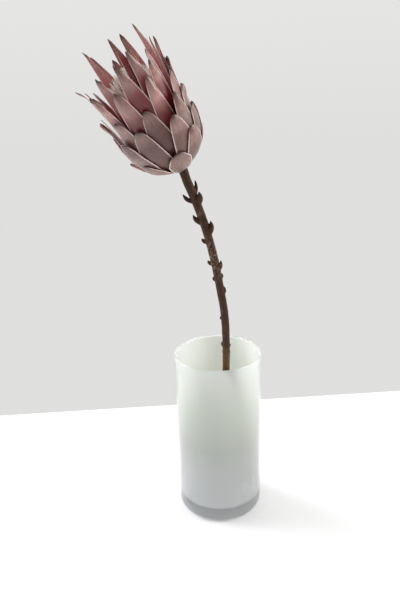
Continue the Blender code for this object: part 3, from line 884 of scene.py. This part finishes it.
def floret_seats():
    """Places and directions of the florets, set by the golden angle over the mass."""
    depth = FLORETS_TOP - FLORETS_BOTTOM - FLORET_SINK
    seats = []
    for i in range(FLORET_COUNT):
        share = (i + 0.5) / FLORET_COUNT
        height = FLORETS_TOP - depth * share**1.15
        radius = dome_radius(height)
        angle = math.radians(GOLDEN_ANGLE * i)
        outward = Vector((math.cos(angle), math.sin(angle), 0.0))
        lean = min(1.0, radius / FLORETS_RADIUS) ** 2
        facing = (outward * lean * 0.55 + Vector((0, 0, 1))).normalized()
        place = outward * radius * 0.93 + Vector((0, 0, height - FLORET_SINK))
        seats.append((HEAD @ place, HEAD.to_3x3() @ facing))
    return seats


def seat_mesh(name, seats):
    mesh = bpy.data.meshes.new(name)
    mesh.from_pydata([place for place, _ in seats], [], [])
    facing = mesh.attributes.new("facing", "FLOAT_VECTOR", "POINT")
    facing.data.foreach_set("vector", [part for _, way in seats for part in way])
    return mesh


def pointed_spike(tree, given, sides, tip_width):
    """A slim cone that carries how far each point is towards its tip."""
    spike = tree_node(
        tree,
        "GeometryNodeMeshCone",
        {"fill_type": "NGON"},
        Vertices=sides,
        Side_Segments=3,
        Radius_Top=tip_width,
        Radius_Bottom=given.outputs["Width"],
        Depth=given.outputs["Length"],
    )
    place = tree_node(tree, "GeometryNodeInputPosition").outputs[0]
    height = tree_node(tree, "ShaderNodeSeparateXYZ", Vector=place).outputs["Z"]
    return tree_node(
        tree,
        "GeometryNodeStoreNamedAttribute",
        {"data_type": "FLOAT", "domain": "POINT"},
        Geometry=spike.outputs["Mesh"],
        Name="tip_share",
        Value=tree_maths(tree, "DIVIDE", height, given.outputs["Length"]),
    ).outputs[0]


def stray_turn(tree, given):
    """Each seat's facing, turned a little astray."""
    facing = tree_node(
        tree, "GeometryNodeInputNamedAttribute", {"data_type": "FLOAT_VECTOR"}, Name="facing"
    )
    stray = tree_node(
        tree, "FunctionNodeRandomValue", {"data_type": "FLOAT_VECTOR"}, Seed=given.outputs["Seed"]
    )
    stray.inputs[0].default_value = (-1, -1, -1)
    stray.inputs[1].default_value = (1, 1, 1)
    scaled = vector_maths(tree, "SCALE", stray.outputs[0], given.outputs["Spread"])
    way = vector_maths(tree, "ADD", facing.outputs[0], scaled)
    return tree_node(tree, "FunctionNodeAlignRotationToVector", {"axis": "Z"}, Vector=way).outputs[0]


def bristle_tree(name, length, width, sides, spread, seed):
    """Stand a slim pointed bristle on every seat, turned along its facing and a little astray."""
    sizes = {
        "Length": ("NodeSocketFloat", length),
        "Width": ("NodeSocketFloat", width),
        "Spread": ("NodeSocketFloat", spread),
        "Seed": ("NodeSocketInt", seed),
    }
    tree, given, out = grow_tree(name, sizes)
    size = tree_node(tree, "FunctionNodeRandomValue", {"data_type": "FLOAT"}, Seed=given.outputs["Seed"])
    size.inputs[2].default_value = 0.75
    size.inputs[3].default_value = 1.2
    standing = tree_node(
        tree,
        "GeometryNodeInstanceOnPoints",
        Points=given.outputs["Geometry"],
        Instance=pointed_spike(tree, given, sides, 0.12 * width),
        Rotation=stray_turn(tree, given),
        Scale=size.outputs[1],
    )
    end_tree(tree, given, out, standing.outputs[0])
    return tree


def wool_seats(seats):
    """Places for the wool, scattered over the florets' upper ends."""
    chance = random.Random(5)
    wisps = []
    for _ in range(WOOL_COUNT):
        place, way = seats[chance.randrange(len(seats))]
        shift = Vector([chance.uniform(-WOOL_SCATTER, WOOL_SCATTER) for _axis in range(3)])
        wisps.append((place + way * chance.uniform(0.004, 0.010) + shift, way))
    return wisps


def floret_core_mesh():
    """A plain body inside the florets, so that nothing shows through them. It has no tip_share, so it
    takes the painted shade brown of the wool.
    """
    steps = 26
    lift = 0.0045
    core = [(0.0, FLORETS_BOTTOM)]
    for i in range(steps):
        height = FLORETS_BOTTOM + (FLORETS_TOP - FLORET_SINK - FLORETS_BOTTOM) * i / (steps - 1)
        core.append((max(0.0015, dome_radius(height + lift) * 0.90), height))
    core.append((0.0, FLORETS_TOP - 0.0055))
    mesh = turned_mesh("floret_core", core, 40)
    mesh.transform(HEAD)
    return mesh


def build_florets(surface):
    """Packed florets with their silky wool, grown on a dome by node trees."""
    seats = floret_seats()
    florets = bristle_tree("packed florets", length=0.013, width=0.0016, sides=7, spread=0.10, seed=3)
    wool = bristle_tree("silky wool", length=0.0050, width=0.00010, sides=3, spread=0.75, seed=8)
    body = grown_mesh("floret_bodies", seat_mesh("floret_seats", seats), florets, surface)
    hair = grown_mesh("floret_hair", seat_mesh("wool_seats", wool_seats(seats)), wool, surface)
    build_mesh = bmesh.new()
    for mesh in (body, hair, floret_core_mesh()):
        build_mesh.from_mesh(mesh)
    joined = plain_mesh("woolly_florets", build_mesh)
    return add_piece("woolly_florets", joined, surface, ["florets"])


# ---- bracts -------------------------------------------------------------------------------------
@dataclass
class Bract:
    """One bract: where it stands round the head and how far up its tip is."""

    index: int
    azimuth: float
    tip_height: float
    half_width: float
    widest: float
    slimness: float
    flare: float
    sweep: float
    depth: float = 0.0
    start: float = 0.0
    reach: float = 0.0
    free_middle: float = 0.0
    free_edges: float = 0.0
    pinch: float = 0.0
    keel: float = 0.0
    twist: float = 0.0
    hook: float = 0.0


BOWL_ARC = 0.5 * (BOWL_RADIUS + BOWL_HEIGHT)


def arc_at_height(height):
    if height < BOWL_HEIGHT:
        return BOWL_ARC * math.acos(1 - height / BOWL_HEIGHT)
    return BOWL_ARC * math.pi / 2 + height - BOWL_HEIGHT


def silhouette(arc):
    """Radius and height of the head's outer surface: a round bowl, then walls that close in."""
    angle = arc / BOWL_ARC
    if angle < math.pi / 2:
        return BOWL_RADIUS * math.sin(angle), BOWL_HEIGHT * (1 - math.cos(angle))
    height = BOWL_HEIGHT + arc - BOWL_ARC * math.pi / 2
    closing = max(0.0, (height - MOUTH_LEVEL) / (TALLEST_TIP - MOUTH_LEVEL))
    return BOWL_RADIUS - MOUTH_CLOSING * closing**2, height


def layer_point(arc, depth):
    """Radius, height and outward normal of the surface a depth inside the silhouette."""
    step = 0.0005
    radius, height = silhouette(arc)
    low = silhouette(max(arc - step, 0.0))
    high = silhouette(arc + step)
    run = math.hypot(high[0] - low[0], high[1] - low[1])
    out = ((high[1] - low[1]) / run, -(high[0] - low[0]) / run)
    return radius - depth * out[0], height - depth * out[1], out


def tips_below(arc):
    """Share of the bracts whose tips are lower."""
    height = silhouette(arc)[1]
    share = max(0.0, (height - LOWEST_TIP) / (TALLEST_TIP - LOWEST_TIP))
    return min(1.0, share ** (1 / TIP_SPACING_POWER))


def width_share(share, widest, slimness):
    """Outline of a bract, 1 where it is widest: a broad base, then a taper to a point."""
    below, above = widest + OUTLINE_BELOW, OUTLINE_END - widest
    rise = slimness * below / above
    return ((share + OUTLINE_BELOW) / below) ** rise * ((OUTLINE_END - share) / above) ** slimness


def share_along(bract, arc):
    """0 where the bract starts on the receptacle, 1 at its tip."""
    return (arc - bract.start) / (bract.reach - bract.start)


def half_angle(bract, arc):
    radius = max(silhouette(arc)[0], 0.001)
    half = bract.half_width * width_share(share_along(bract, arc), bract.widest, bract.slimness)
    return min(half / radius, math.radians(BASE_HALF_ANGLE))


def shown_half_angle(bract, arc):
    """The seen outline: the same base, drawn in to a sharper tip."""
    share = share_along(bract, arc)
    closing = min(1.0, 0.10 + math.sqrt(max(0.0, 1 - share) / 0.035))
    return half_angle(bract, arc) * closing * (1 - bract.pinch * ease((share - 0.50) / 0.52))


def middle_angle(bract, arc):
    share = max(share_along(bract, arc), 0.0)
    return math.radians(bract.azimuth + bract.sweep * share**2)


def covered_up_to(inner, outer, middle_share):
    """Highest arc at which the outer bract covers that share of the inner one, or None."""
    margin = math.radians(1.5)
    bottom = max(inner.start, outer.start)
    top = min(inner.reach, outer.reach)
    for i in range(COVER_SEARCH_ROWS):
        arc = top - (top - bottom) * i / COVER_SEARCH_ROWS
        apart = middle_angle(inner, arc) - middle_angle(outer, arc)
        apart = abs((apart + math.pi) % (2 * math.pi) - math.pi)
        if apart < middle_share * half_angle(inner, arc) + half_angle(outer, arc) + margin:
            return arc
    return None


def highest_cover(inner, outers, middle_share):
    """Where the inner bract comes clear of all the outer ones."""
    covers = [covered_up_to(inner, outer, middle_share) for outer in outers]
    clear = [arc for arc in covers if arc is not None]
    lowest = inner.start + LEAST_COVER_SHARE * (inner.reach - inner.start)
    highest = inner.reach - LEAST_FREE_TIP
    return min(max([lowest] + clear) + FREE_MARGIN, highest)


def start_on_receptacle(depth):
    """Lowest arc at which a bract of that depth stands clear of the receptacle."""
    arc = 0.004
    for _ in range(START_SEARCH_STEPS):
        radius, height, _out = layer_point(arc, depth + BRACT_THICKNESS)
        beside = radius > receptacle_radius(max(height, 0.0)) + 2 * GAP
        above = height > RECEPTACLE_HEIGHT + RECEPTACLE_CROWN + 2 * GAP
        if beside or above:
            return arc
        arc += START_SEARCH_STEP
    raise ValueError("a bract never leaves the receptacle")


def plan_bracts():
    """Every bract a golden angle round from the last one, lying just inside those it crosses."""
    bracts = []
    for index in range(BRACT_COUNT):
        share = index / (BRACT_COUNT - 1)
        turn, taller, flare, sweep, width = IRREGULAR_BRACTS.get(index, (0, 0, 0, 0, 1.0))
        height = LOWEST_TIP + (TALLEST_TIP - LOWEST_TIP) * share**TIP_SPACING_POWER
        bract = Bract(
            index=index,
            azimuth=FIRST_BRACT_AZIMUTH + GOLDEN_ANGLE * index + turn,
            tip_height=height + taller / 1000,
            half_width=0.5 * width * (OUTER_BRACT_WIDTH * (1 - share) + INNER_BRACT_WIDTH * share),
            widest=0.55 - 0.13 * share,
            slimness=0.45 + 0.33 * share,
            flare=flare / 1000,
            sweep=sweep,
        )
        bract.reach = arc_at_height(bract.tip_height)
        bract.start = start_on_receptacle(bracts[-1].depth if bracts else 0.0)
        covering = [outer for outer in bracts if covered_up_to(bract, outer, 1.0)]
        stacked = max(outer.depth for outer in covering) + LAYER_STEP if covering else 0.0
        bract.depth = max(stacked, DEPTH_PER_BRACT * index)
        bract.start = start_on_receptacle(bract.depth)
        bract.free_middle = highest_cover(bract, covering, KEEL_SHARE)
        bract.free_edges = highest_cover(bract, covering, 1.0)
        bracts.append(bract)
    return bracts


def ease(value):
    """Smooth step from 0 to 1."""
    value = min(1.0, max(0.0, value))
    return value * value * (3 - 2 * value)


def bract_lift(bract, arc, across, half):
    """How far the free part of a bract stands out: keel, flare, a slight wave and a twist."""
    keeled = ease((arc - bract.free_middle) / KEEL_RUN)
    opened = max(0.0, (arc - bract.free_edges) / (bract.reach - bract.free_edges))
    boat = 1 - abs(across) ** 1.7
    wave = 0.00022 * opened * abs(across) ** 3 * math.sin(arc * 420 + bract.index + 2 * across)
    twisted = bract.twist * across * half * ease(1.6 * opened)
    return bract.keel * half * boat * keeled + bract.flare * opened**2 + wave + twisted


def bract_point(bract, deepest, arc, across, inward):
    """Place on a bract, a distance inward from its outer face; across runs from -1 to 1."""
    relief = deepest * tips_below(arc)
    radius, height, out = layer_point(arc, bract.depth - relief + inward)
    spread = shown_half_angle(bract, arc)
    lift = bract_lift(bract, arc, across, spread * radius)
    radius += lift * out[0]
    height += lift * out[1]
    hook = math.radians(bract.hook) * ease((share_along(bract, arc) - 0.80) / 0.20)
    angle = middle_angle(bract, arc) + across * spread + hook
    drift = HEAD_DRIFT * max(0.0, height / 0.06 - 1) ** 2
    return HEAD @ Vector((radius * math.cos(angle), radius * math.sin(angle) - drift, height))


def bract_thickness(across, share):
    """Thick in the middle and at the base, thin along the margins and at the tip."""
    middle = BRACT_THICKNESS * (1 - 0.35 * share)
    return middle + (BRACT_EDGE_THICKNESS - middle) * abs(across) ** 3


def ring_places():
    """Across and side, round one section of a bract: outer face, then the inner face back."""
    columns = [math.sin(0.5 * math.pi * (2 * i / BRACT_COLUMNS - 1)) for i in range(BRACT_COLUMNS + 1)]
    ring = [(across, 0.0) for across in columns]
    return ring + [(across, 1.0) for across in reversed(columns)]


def add_bract_rows(build_mesh, bract, deepest):
    """Sections of a bract from base to tip, and the UV place of every vertex."""
    layers = {
        label: build_mesh.verts.layers.float.new(label)
        for label in ("inner_face", "covered_shade_and_tint", "width_run", "length_run")
    }
    rows = []
    places = {}
    for row in range(BRACT_ROWS + 1):
        share = 1 - (1 - row / BRACT_ROWS) ** 1.6
        arc = bract.start + (bract.reach - bract.start) * share
        loop = []
        for across, side in ring_places():
            inward = side * bract_thickness(across, share)
            vertex = build_mesh.verts.new(bract_point(bract, deepest, arc, across, inward))
            cover = bract.free_middle + (bract.free_edges - bract.free_middle) * abs(across)
            vertex[layers["inner_face"]] = side
            # Mask for the painted shade and crimson tint where the bracts outside cover this one.
            vertex[layers["covered_shade_and_tint"]] = 1 - ease((arc - cover + 0.011) / 0.018)
            vertex[layers["width_run"]] = across * half_angle(bract, arc) * silhouette(arc)[0]
            vertex[layers["length_run"]] = arc + 0.1 * bract.index
            places[vertex] = (0.5 + 0.5 * across, share)
            loop.append(vertex)
        rows.append(loop)
    return rows, places


def skin_rows(build_mesh, rows):
    """Faces between the sections, then the base and the tip closed."""
    join_rings(build_mesh, rows)
    for loop in (rows[0], rows[-1]):
        for i in range(BRACT_COLUMNS):
            j = len(loop) - 1 - i
            build_mesh.faces.new((loop[i], loop[i + 1], loop[j - 1], loop[j]))
    bmesh.ops.recalc_face_normals(build_mesh, faces=build_mesh.faces)


def build_bract(bract, deepest, surface, chance):
    """A closed leaf: outer face and inner face joined along thin margins, base and tip."""
    build_mesh = bmesh.new()
    uv_layer = build_mesh.loops.layers.uv.new("UVMap")
    rows, places = add_bract_rows(build_mesh, bract, deepest)
    skin_rows(build_mesh, rows)
    for face in build_mesh.faces:
        for corner in face.loops:
            corner[uv_layer].uv = places[corner.vert]
    name = f"bract_{bract.index + 1:02d}"
    mesh = plain_mesh("leaf_" + name, build_mesh)
    marks = {
        "level": bract.index / (BRACT_COUNT - 1),
        "tone": chance.random(),
        "dryness": chance.uniform(0.35, 1.0),
    }
    for label, value in marks.items():
        layer = mesh.attributes.new(label, "FLOAT", "POINT")
        layer.data.foreach_set("value", [value] * len(mesh.vertices))
    return add_piece("leafy_" + name, mesh, surface, [name])


def build_bracts(surface):
    """Every bract as it is stacked, made less even towards the innermost ones."""
    bracts = plan_bracts()
    deepest = max(bract.depth for bract in bracts)
    chance = random.Random(11)
    for bract in bracts:
        level = bract.index / (BRACT_COUNT - 1)
        fullness = min(1.0, bract.tip_height / FULL_KEEL_LEVEL) ** 1.5
        bract.pinch = 0.20 + 0.16 * level
        bract.keel = (KEEL_HEIGHT + KEEL_GAIN * level) * fullness
        bract.flare = min(bract.flare + chance.uniform(0.0, 0.0016) * level, GREATEST_FLARE)
        bract.sweep += chance.uniform(-2.5, 2.5) * level
        bract.twist = chance.uniform(-0.16, 0.16) * level
        bract.hook = chance.uniform(-2.8, 2.8) * level
        bract.azimuth += TURNED_BRACTS.get(bract.index, 0)
        bract.half_width *= WIDER_BRACTS.get(bract.index, 1.0)
        build_bract(bract, deepest, surface, chance)


# ---- camera, light and floor --------------------------------------------------------------------
def place_camera():
    """Three quarters of a metre in front of the vase, looking down a little."""
    lens = bpy.data.cameras.new("view")
    lens.sensor_width = 36.0
    lens.lens = 36.0
    camera = new_object("view", lens)
    turn = Matrix.Rotation(math.radians(CAMERA_ASIDE), 4, "Z")
    turn = turn @ Matrix.Rotation(math.radians(90 - CAMERA_DOWN), 4, "X")
    turn = turn @ Matrix.Rotation(math.radians(CAMERA_ROLL), 4, "Z")
    camera.matrix_world = Matrix.Translation(CAMERA_PLACE) @ turn
    bpy.context.scene.camera = camera


def soft_light(name, place, target, width, power, colour):
    """A square light that gives light but isn't seen itself."""
    lamp = bpy.data.lights.new(name, "AREA")
    lamp.shape = "SQUARE"
    lamp.size = width
    lamp.energy = power
    lamp.color = colour
    light = new_object(name, lamp)
    light.location = place
    light.visible_camera = False
    light.rotation_euler = (Vector(target) - Vector(place)).to_track_quat("-Z", "Y").to_euler()


def pale_floor():
    """White table top with a softly rounded back edge, running slightly askew."""
    coat = Finish("matt white paper")
    grain = coat.noise(coat.object_place(), 240.0, 4.0)
    tint = coat.steps(grain, (0.2, rgb(240, 241, 243)), (0.8, rgb(247, 247, 248)))
    paper = coat.finish(tint, 0.9, coat.bump(grain, 0.05, 0.0003))
    profile = [(0.0, -TABLE_SKIRT)]
    profile += arc_points(-TABLE_EDGE, -TABLE_EDGE, TABLE_EDGE, 0, 90, 6)
    verts = []
    for back, z in profile:
        verts += [(x, TABLE_BACK + TABLE_SKEW * x + back, z) for x in (TABLE_REACH, -TABLE_REACH)]
    verts += [(x, -TABLE_REACH, 0.0) for x in (TABLE_REACH, -TABLE_REACH)]
    faces = [(2 * i, 2 * i + 1, 2 * i + 3, 2 * i + 2) for i in range(len(profile))]
    mesh = bpy.data.meshes.new("pale_floor")
    mesh.from_pydata(verts, [], faces)
    mesh.materials.append(paper)
    mesh.shade_smooth()
    new_object("pale_floor", mesh)


def soft_room():
    """A pale room all round, brighter behind the vase and overhead than in front of it."""
    world = bpy.data.worlds.new("soft room")
    world.use_nodes = True
    room = world.node_tree
    way = tree_node(room, "ShaderNodeTexCoord").outputs["Generated"]
    split = tree_node(room, "ShaderNodeSeparateXYZ", Vector=way)
    behind = tree_node(
        room,
        "ShaderNodeMapRange",
        {"interpolation_type": "SMOOTHSTEP"},
        Value=split.outputs["Y"],
        From_Min=-1.0,
        From_Max=0.3,
        To_Min=0.22,
        To_Max=0.76,
    )
    overhead = tree_node(
        room,
        "ShaderNodeMapRange",
        Value=split.outputs["Z"],
        From_Min=-0.1,
        From_Max=0.9,
        To_Min=0.98,
        To_Max=1.25,
    )
    strength = tree_maths(room, "MULTIPLY", behind.outputs[0], overhead.outputs[0])
    sky = room.nodes["Background"]
    feed(room, sky.inputs["Color"], (1.0, 0.995, 0.985, 1.0))
    feed(room, sky.inputs["Strength"], strength)
    bpy.context.scene.world = world


def light_studio():
    soft_room()
    bpy.context.scene.view_settings.view_transform = "Standard"
    cool, warm = rgb(250, 252, 255), rgb(255, 253, 249)
    soft_light("back window", (-1.15, 0.45, 1.15), (0.0, -0.02, 0.33), 1.1, 24.0, cool)
    soft_light("right window", (1.25, 0.10, 1.15), (0.0, -0.05, 0.4), 0.8, 13.0, warm)


def main():
    place_camera()
    light_studio()
    pale_floor()
    build_vase_casing(clear_glass())
    build_vase_lining(white_glass())
    build_stem(bark())
    build_florets(floret_wool())
    build_bracts(bract_skin())


main()
